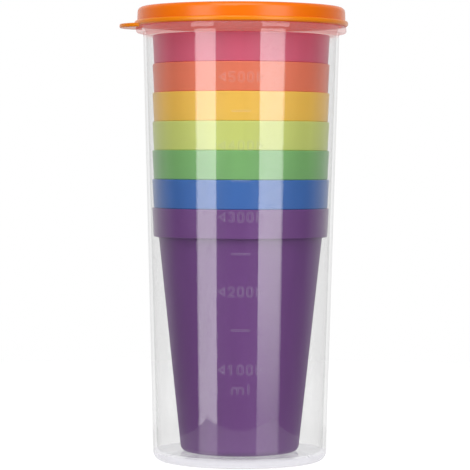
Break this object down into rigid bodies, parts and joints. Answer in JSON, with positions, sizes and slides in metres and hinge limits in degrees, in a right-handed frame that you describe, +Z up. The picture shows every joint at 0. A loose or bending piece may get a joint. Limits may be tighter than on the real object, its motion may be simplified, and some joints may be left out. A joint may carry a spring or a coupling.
{
  "type": "measuring cup set",
  "caption": "Seven nesting tapered cups in rainbow colours, stacked inside a tall clear measuring container with a raised millilitre scale and a press-on lid with a pull tab.",
  "frame": {"origin": "centre of the container's foot ring, on the surface that the set stands on", "axes": "+Z up along the stack; the container's millilitre scale faces -Y; the lid's pull tab points along -X"},
  "size_m": [0.0863, 0.0806, 0.1711],
  "materials": {
    "container": "clear polished",
    "purple_cup": "satin moulded",
    "blue_cup": "satin moulded",
    "green_cup": "satin moulded",
    "lime_cup": "satin moulded",
    "yellow_cup": "satin moulded",
    "orange_cup": "satin moulded",
    "pink_cup": "satin moulded",
    "lid": "satin moulded"
  },
  "bodies": {
    "container": {"container": "container"},
    "purple_cup": {"purple_cup": "purple_cup"},
    "blue_cup": {"blue_cup": "blue_cup"},
    "green_cup": {"green_cup": "green_cup"},
    "lime_cup": {"lime_cup": "lime_cup"},
    "yellow_cup": {"yellow_cup": "yellow_cup"},
    "orange_cup": {"orange_cup": "orange_cup"},
    "pink_cup": {"pink_cup": "pink_cup"},
    "lid": {"lid": "lid"}
  },
  "joints": [
    {"name": "purple_cup_lift", "type": "slide", "parent": "container", "child": "purple_cup", "axis": [0, 0, 1], "range_m": [0, 0.168]},
    {"name": "blue_cup_lift", "type": "slide", "parent": "purple_cup", "child": "blue_cup", "axis": [0, 0, 1], "range_m": [0, 0.086]},
    {"name": "green_cup_lift", "type": "slide", "parent": "blue_cup", "child": "green_cup", "axis": [0, 0, 1], "range_m": [0, 0.086]},
    {"name": "lime_cup_lift", "type": "slide", "parent": "green_cup", "child": "lime_cup", "axis": [0, 0, 1], "range_m": [0, 0.086]},
    {"name": "yellow_cup_lift", "type": "slide", "parent": "lime_cup", "child": "yellow_cup", "axis": [0, 0, 1], "range_m": [0, 0.086]},
    {"name": "orange_cup_lift", "type": "slide", "parent": "yellow_cup", "child": "orange_cup", "axis": [0, 0, 1], "range_m": [0, 0.086]},
    {"name": "pink_cup_lift", "type": "slide", "parent": "orange_cup", "child": "pink_cup", "axis": [0, 0, 1], "range_m": [0, 0.086]},
    {"name": "lid_lift", "type": "slide", "parent": "pink_cup", "child": "lid", "axis": [0, 0, 1], "range_m": [0, 0.05]}
  ]
}
